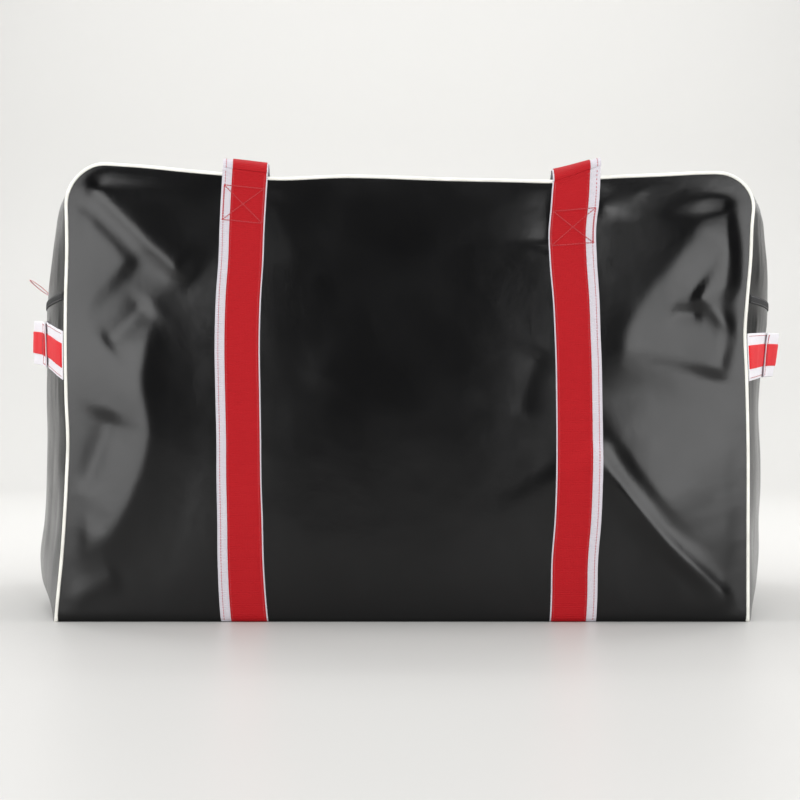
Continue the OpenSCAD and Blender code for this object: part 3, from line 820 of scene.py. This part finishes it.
def strap_lay(face, side):
    def lay(across, along):
        x = side * (STRAP_X + across) + drift(face, side, along)
        p = on_face(x, np.minimum(along, HINGE_Z), face, .1 * MM)
        p[..., 2] += np.maximum(along - HINGE_Z, 0) * (1 + 0 * across)
        p[..., 2] += fold_tilt(face, side, across) * ramp(along, .470, .491)
        n = np.broadcast_to([0.0, face, 0.0], p.shape)
        return p, n
    return lay


def make_straps():
    half = WEBBING_W / 2
    z = np.concatenate([np.linspace(.5 * MM, .46, 104), np.linspace(.463, STRAP_TOP + 2.2 * MM, 14)])
    for face in (-1, 1):
        for side in (-1, 1):
            tag = "%s_%s" % (NAME[face], SIDE[side])
            lay, bend = strap_lay(face, side), strap_bend(face, side * STRAP_X)
            piece = band(tag + "_strap_webbing", lay, z, flat_section(-half, half, 0, WEBBING_T, 0, 9), WHITE)
            hold(piece, [tag + "_strap"], bend=bend)
            low = WEBBING_T + STRIPE_GAP
            section = flat_section(STRIPE_IN - half, half - STRIPE_OUT, low, low + STRIPE_T, .25 * MM, 9)
            piece = band(tag + "_strap_stripe", lay, z, section, RED)
            hold(piece, [tag + "_stripe"], bend=bend)
            rows = [[(u, v) for v in np.linspace(2 * MM, STRAP_TOP, 90)] for u in (half - MARGIN_IN,)]
            piece = laid_stitches(tag + "_margin_stitches", lay, rows, THREAD, WEBBING_T + .1 * MM)
            hold(piece, [], bend=bend)
            rows = [[(u, v) for v in np.linspace(2 * MM, STRAP_TOP, 90)]
                    for u in (STRIPE_IN - half + 2 * MM, half - STRIPE_OUT - 2 * MM)]
            piece = laid_stitches(tag + "_stripe_stitches", lay, rows, THREAD, low + STRIPE_T + .1 * MM)
            hold(piece, [], bend=bend)
            make_box(tag, lay, side, low + STRIPE_T, bend)


def make_box(tag, lay, side, proud, bend):
    half, top = WEBBING_W / 2 - 3 * MM, BOX_TOP[side]
    corners = [(-half, top - BOX_H), (half, top - BOX_H), (half, top), (-half, top)]
    ends = [(0, 1), (1, 2), (2, 3), (3, 0), (0, 2), (1, 3)]
    rows = [list(zip(np.linspace(corners[a][0], corners[b][0], 12),
                     np.linspace(corners[a][1], corners[b][1], 12)))
            for a, b in ends]
    edge = WEBBING_W / 2 - STRIPE_OUT
    out = lambda across, along: np.where(across > edge, WEBBING_T, proud + .2 * MM) + .2 * MM
    piece = laid_stitches(tag + "_box_stitches", lay, rows, THREAD, out, 2.7 * MM, 2.4 * MM, .6 * MM)
    hold(piece, [tag.split("_")[0] + "_box_stitching"], bend=bend)


def fold_line():
    """Middle of the handle's webbing from the strap's top, over the fold and down onto the lid (front)."""
    up = [(FOLD_Y + FOLD_R * math.cos(t), FOLD_Z + FOLD_R * math.sin(t))
          for t in np.linspace(math.pi, math.pi / 2 - SLOPE, 22)]
    start = np.array(up[-1])
    down = start + SLOPE_L * np.array([math.cos(SLOPE), -math.sin(SLOPE)])
    centre = down + SETTLE_R * np.array([math.sin(SLOPE), math.cos(SLOPE)])
    slide = [tuple(start + (down - start) * t) for t in np.linspace(0, 1, 6)[1:-1]]
    settle = [tuple(centre + SETTLE_R * np.array([math.cos(t), math.sin(t)]))
              for t in np.linspace(-math.pi / 2 - SLOPE, -math.pi / 2, 8)]
    return np.array(up + slide + settle)


def handle_line():
    """Path of a front handle's middle over the lid, from the left fold to the right one, with the way across."""
    lay_y = fold_line()[-1, 0]
    turn_y = -GRIP_Y - HANDLE_R
    left = [((-STRAP_X, y), (-1, 0)) for y in np.linspace(lay_y, turn_y, 16)[:-1]]
    for t in np.linspace(math.pi, math.pi / 2, 20)[:-1]:
        way = (math.cos(t), math.sin(t))
        left.append(((HANDLE_R - STRAP_X + HANDLE_R * way[0], turn_y + HANDLE_R * way[1]), way))
    grip = [((x, -GRIP_Y), (0, 1)) for x in np.linspace(HANDLE_R - STRAP_X, STRAP_X - HANDLE_R, 57)]
    right = [((-x, y), (-wx, wy)) for (x, y), (wx, wy) in left[::-1]]
    return left + grip + right


def droop(y):
    """How far the soft handle settles towards the sagging lid."""
    lay_y = -fold_line()[-1, 0]
    return (lid_z(lay_y) - lid_z(y)) * ramp(lay_y - np.abs(y), 0, .06) * .82


def loop_drift(x, y, face):
    """The handle's ends sit where its straps come up, and its grip sits in the middle."""
    ends = [float(drift(face, side, .498)) for side in (-1, 1)]
    near = ramp(np.abs(y), GRIP_Y, .19)
    return near * np.where(x < 0, ends[0], ends[1]) * ramp(np.abs(x), .06, .15)


def handle_surface(x, y, face):
    """Middle of the webbing at x, y (drawn for the front) as it lies on the lid."""
    lay_z = fold_line()[-1, 1]
    flat = np.stack([x + loop_drift(x, y, face), face * np.abs(y), lay_z - droop(y)], -1)
    shape = np.stack([x, face * np.abs(y), np.full_like(x, BAG_H)], -1)
    flat[..., 2] += (warp(shape) - shape)[..., 2] + .8 * MM * lumps(shape, .06, 31, 1)
    return flat


def make_handles():
    half = WEBBING_W / 2
    stripe = (STRIPE_IN - half, half - STRIPE_OUT)
    for face in (-1, 1):
        make_folds(face, half, stripe)
        make_grip(face, half, stripe)


def make_folds(face, half, stripe):
    line = fold_line()
    along = unit(np.gradient(line, axis=0))
    for side in (-1, 1):
        def lay(across, station, side=side):
            i = np.arange(len(line))
            y, z = np.interp(station, i, line[:, 0]), np.interp(station, i, line[:, 1])
            ty, tz = np.interp(station, i, along[:, 0]), np.interp(station, i, along[:, 1])
            share = ramp(station, 4, len(line) - 3)[..., None]
            x = side * (STRAP_X + across) + drift(face, side, .498 + 0 * across)
            p = np.stack([x, -face * y, z + fold_tilt(face, side, across) * (1 - share[..., 0])], -1)
            low = on_face(x, np.full_like(x, HINGE_Z), face, .1 * MM + WEBBING_T / 2)
            plain_y = np.full_like(x, face * (HALF_D + .1 * MM + WEBBING_T / 2))
            base = np.stack([x, plain_y, np.full_like(x, HINGE_Z)], -1)
            plain = side * (STRAP_X + across)
            rest = handle_surface(plain, np.full_like(x, line[-1, 0]), face)
            flat = np.stack([x, np.full_like(x, -face * line[-1, 0]), np.full_like(x, line[-1, 1])], -1)
            p = p + (low - base) * (1 - share) + (rest - flat) * share
            return p, np.stack([0 * x, face * tz, ty], -1)
        tag = "%s_%s" % (NAME[face], SIDE[side])
        stations = np.arange(len(line))
        bend = (NAME[face] + "_flap", NAME[face] + "_handle", (side * STRAP_X, face * .229, .49),
                (side * STRAP_X, face * .203, .49))
        section = flat_section(-half, half, -WEBBING_T / 2, WEBBING_T / 2, 0, 9)
        piece = band(tag + "_fold_webbing", lay, stations, section, WHITE)
        hold(piece, [NAME[face] + "_handle"], bend=bend)
        low = WEBBING_T / 2 + STRIPE_GAP
        piece = band(tag + "_fold_stripe", lay, stations, flat_section(*stripe, low, low + STRIPE_T,
                                                                       .25 * MM, 9), RED)
        hold(piece, [NAME[face] + "_handle_stripe"], bend=bend)
        piece = band_stitches(tag + "_fold_stitches", lay, stations, half - MARGIN_IN,
                              WEBBING_T / 2 + .1 * MM)
        hold(piece, [], bend=bend)


def band_stitches(name, lay, stations, across, out):
    p, n = lay(np.full(len(stations), across), np.asarray(stations, float))
    return stitches(name, [(p + n * out, n)], THREAD)


def make_grip(face, half, stripe):
    line = handle_line()
    centre = np.array([c for c, _ in line])
    way = np.array([w for _, w in line])
    i = np.arange(len(line))

    def lay(across, station):
        cx, cy = (np.interp(station, i, centre[:, k]) for k in (0, 1))
        wx, wy = (np.interp(station, i, way[:, k]) for k in (0, 1))
        size = np.hypot(wx, wy)
        x, y = cx + across * wx / size, cy + across * wy / size
        p = handle_surface(x, y, face)
        return p, np.broadcast_to([0.0, 0.0, 1.0], p.shape)
    section = flat_section(-half, half, -WEBBING_T / 2, WEBBING_T / 2, 0, 9)
    piece = band(NAME[face] + "_handle_webbing", lay, i, section, WHITE)
    hold(piece, [NAME[face] + "_handle"], body=NAME[face] + "_handle")
    low = WEBBING_T / 2 + STRIPE_GAP
    piece = band(NAME[face] + "_handle_red", lay, i, flat_section(*stripe, low, low + STRIPE_T, .25 * MM,
                                                                  9), RED)
    hold(piece, [NAME[face] + "_handle_stripe"], body=NAME[face] + "_handle")
    piece = band_stitches(NAME[face] + "_handle_stitches", lay, i, half - MARGIN_IN, WEBBING_T / 2 + .1 * MM)
    hold(piece, [], body=NAME[face] + "_handle")


# ---------------------------------------------------------------- webbing and loops on the ends
BAND_Z = 287 * MM
BAND_RISE = {-1: 25 * MM, 1: 9 * MM}
LOOP_HALF, LOOP_STAND, TAB_L = 105 * MM, 21 * MM, 30 * MM


def end_lay(side, height):
    """A strip across an end. Stations are depths, and height(y) is how far it stands off the panel."""
    def lay(across, along):
        z = BAND_Z + BAND_RISE[side] * belly(along) + across
        p, n = end_surface(along, z, side)
        n = unit(n * np.array([1, .35, 0]))
        return p + n * height(along)[..., None], n
    return lay


def loop_height(y):
    base = 2 * WEBBING_T + 2 * STRIPE_T - WEBBING_T
    return base + (LOOP_STAND - 2 * WEBBING_T - 2 * STRIPE_T) * np.clip(1 - (y / LOOP_HALF) ** 2, 0, 1)


def make_end_webbing():
    half, red = WEBBING_W / 2, END_STRIPE_W / 2
    wide = flat_section(-half, half, 0, WEBBING_T, 0, 9)
    for side in (-1, 1):
        lay = end_lay(side, lambda y: 0.1 * MM + 0 * y)
        y = np.linspace(-SEAM_Y, SEAM_Y, 97)
        # The end band, its stripe and the grab loops use the brighter webbing copies, which paint light onto the
        # ends.
        piece = band(SIDE[side] + "_end_band_webbing", lay, y, wide, PAINTED_LIGHT_WHITE)
        hold(piece, [SIDE[side] + "_end_band"], body="bag")
        low = WEBBING_T + STRIPE_GAP
        strip = flat_section(-red, red, low, low + STRIPE_T, .2 * MM, 7)
        piece = band(SIDE[side] + "_end_band_red", lay, y, strip, PAINTED_LIGHT_RED)
        hold(piece, [SIDE[side] + "_end_band_stripe"], body="bag")
        reach = SEAM_Y - 3 * MM
        rows = [[(u, v) for v in np.linspace(-reach, reach, 60)] for u in (-half + 3 * MM, half - 3 * MM)]
        piece = laid_stitches(SIDE[side] + "_end_band_stitches", lay, rows, THREAD, WEBBING_T + .1 * MM)
        hold(piece, [], body="bag")
        for face in (-1, 1):
            make_loop(side, face, wide, strip)


def make_loop(side, face, wide, strip):
    """Half of a grab loop, from its sewn tab to the middle. It rises off the end where the tab ends."""
    lay = end_lay(side, lambda y: .1 * MM + loop_height(y))
    y = face * np.linspace(0, LOOP_HALF + TAB_L, 61)
    tag = "%s_loop_%s" % (SIDE[side], NAME[face])
    x = side * end_x(0)
    bend = ("bag", SIDE[side] + "_grab_handle", (x, face * .100, .3), (x, face * .050, .3))
    piece = band(tag + "_webbing", lay, y, wide, PAINTED_LIGHT_WHITE)
    hold(piece, [SIDE[side] + "_loop_tabs", SIDE[side] + "_grab_loop"], bend=bend)
    piece = band(tag + "_red", lay, y, strip, PAINTED_LIGHT_RED)
    nodes = [SIDE[side] + "_loop_tab_stripes", SIDE[side] + "_grab_loop_stripe"]
    hold(piece, nodes, bend=bend)
    half, a, b = WEBBING_W / 2 - 3 * MM, face * (LOOP_HALF + 2 * MM), face * (LOOP_HALF + TAB_L - 3 * MM)
    box = [[(-half, a), (half, a)], [(half, a), (half, b)], [(half, b), (-half, b)], [(-half, b), (-half, a)],
           [(-half, a), (half, b)], [(half, a), (-half, b)]]
    rows = [list(zip(np.linspace(p[0], q[0], 12), np.linspace(p[1], q[1], 12))) for p, q in box]
    proud = lambda across, along: WEBBING_T + np.where(np.abs(across) < END_STRIPE_W / 2,
                                                       STRIPE_T + .3 * MM, .1 * MM)
    piece = laid_stitches(tag + "_tab_stitches", lay, rows, THREAD, proud, 2.7 * MM, 2.4 * MM, .55 * MM)
    hold(piece, [], body="bag")


# ---------------------------------------------------------------- zip pull
PULL_ANGLE, PULL_L = math.radians(38), 35 * MM


def make_ribbon():
    """The doubled ribbon on the slider's pull, on the CAD pull's own line."""
    tab_low, tab_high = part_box("zip_pull_tab")
    pin = Vector((tab_high.x - 1.8 * MM, 0, tab_low.z + 1.8 * MM))
    line = Vector((-math.cos(PULL_ANGLE), 0, math.sin(PULL_ANGLE)))
    up = Vector((line.z, 0, -line.x))
    start, end = 6.0, PULL_L / MM - .8
    half = lambda t: .62 + 1.1 * math.sin((t - start) / (end - start) * math.pi) ** .8
    along = [(t, half(t)) for t in np.linspace(start, end, 18)]
    along += [(end + .8 * math.cos(a), .62 * math.sin(a)) for a in np.linspace(math.pi / 2, -math.pi / 2,
                                                                               9)[1:-1]]
    along += [(t, -half(t)) for t in np.linspace(end, start, 18)]
    path = np.array([pin + line * (t * MM) + up * (h * MM) for t, h in along])
    tangent = unit(np.gradient(path, axis=0))
    across = np.tile([0.0, 1.0, 0.0], (len(path), 1))
    normal = unit(np.cross(tangent, across))
    section = flat_section(-3.5 * MM, 3.5 * MM, -.25 * MM, .25 * MM, 0, 5)
    piece = sweep("zip_pull_ribbon_loop", path, across, normal, section, RIBBON)
    hold(piece, ["zip_pull_ribbon"], body="zip_pull")


# ---------------------------------------------------------------- stage, lights and camera
def make_stage():
    white = bpy.data.materials.new("studio_paper")
    white.use_nodes = True
    paper = white.node_tree.nodes["Principled BSDF"]
    paper.inputs["Base Color"].default_value = (.56, .555, .54, 1)
    paper.inputs["Roughness"].default_value = .42
    paper.inputs["Specular IOR Level"].default_value = .25
    turn = np.linspace(0, math.pi / 2, 14)
    profile = [(-2.6, 0), (-1.5, 0), (-.6, 0), (.6, 0), (1.8, 0)]
    profile += [(2.4 + 1.1 * math.sin(t), 1.1 - 1.1 * math.cos(t)) for t in turn] + [(3.5, 5.0)]
    x = np.linspace(-5, 5, 5)
    grid = np.array([[(a, y, z) for y, z in profile] for a in x])
    n, m = grid.shape[:2]
    faces = [(i * m + j, (i + 1) * m + j, (i + 1) * m + j + 1, i * m + j + 1)
             for i in range(n - 1) for j in range(m - 1)]
    paper_sweep = mesh_object("studio_sweep", grid, faces, white)


def area_light(name, place, target, size, power):
    data = bpy.data.lights.new(name, "AREA")
    data.shape = "RECTANGLE"
    data.size, data.size_y = size
    data.energy = power
    lamp = bpy.data.objects.new(name, data)
    lamp.location = place
    lamp.rotation_mode = "QUATERNION"
    lamp.rotation_quaternion = (Vector(target) - Vector(place)).to_track_quat("-Z", "Y")
    bpy.context.scene.collection.objects.link(lamp)


def make_lights():
    area_light("overhead_softbox", (0, .5, 2.6), (0, .3, 0), (3.4, 2.6), 68)
    area_light("left_softbox", (-1.33, -2.5, .50), (-.3, -.2, .3), (1.25, 1.05), 25)
    area_light("right_softbox", (1.22, -2.5, .50), (.3, -.2, .3), (1.25, 1.05), 25)
    area_light("front_top_light", (0, -2.6, 2.5), (0, -.2, .2), (2.2, 1.0), 34)
    area_light("left_side_light", (-3.0, -.3, 1.7), (-.4, 0, .25), (1.8, 1.5), 52)
    area_light("right_side_light", (3.0, -.3, 1.7), (.4, 0, .25), (1.8, 1.5), 52)
    area_light("wall_light", (0, 1.6, 3.0), (0, 3.5, 1.0), (5.0, 1.0), 66)
    area_light("left_rear_light", (-2.6, 2.2, 1.6), (-.2, .2, .3), (1.3, 1.3), 26)
    area_light("right_rear_light", (2.6, 2.2, 1.6), (.2, .2, .3), (1.3, 1.3), 26)
    world = bpy.data.worlds.new("studio")
    world.use_nodes = True
    backdrop = world.node_tree.nodes["Background"]
    backdrop.inputs["Color"].default_value = (.9, .92, .95, 1)
    seen = world.node_tree.nodes.new("ShaderNodeLightPath").outputs["Is Camera Ray"]
    strength = world.node_tree.nodes.new("ShaderNodeMapRange")
    strength.inputs["To Min"].default_value = .05
    strength.inputs["To Max"].default_value = .80
    world.node_tree.links.new(seen, strength.inputs["Value"])
    world.node_tree.links.new(strength.outputs[0], backdrop.inputs["Strength"])
    bpy.context.scene.world = world


LENS_MM, SENSOR_MM = 76.4, 36
CAMERA_X, CAMERA_Z, CAMERA_AWAY = -.0044, .242, 1.85


def make_camera():
    data = bpy.data.cameras.new("photo_camera")
    data.lens, data.sensor_width = LENS_MM, SENSOR_MM
    camera = bpy.data.objects.new("photo_camera", data)
    camera.location = (CAMERA_X, -(HALF_D + CAMERA_AWAY), CAMERA_Z)
    camera.rotation_euler = (math.pi / 2, 0, 0)
    bpy.context.scene.collection.objects.link(camera)
    bpy.context.scene.camera = camera


make_panels()
make_piping()
make_ends()
make_bottom()
make_lid()
make_zip()
make_bindings()
make_straps()
make_handles()
make_end_webbing()
make_ribbon()
make_stage()
make_lights()
make_camera()
bpy.context.scene.view_settings.view_transform = "Standard"
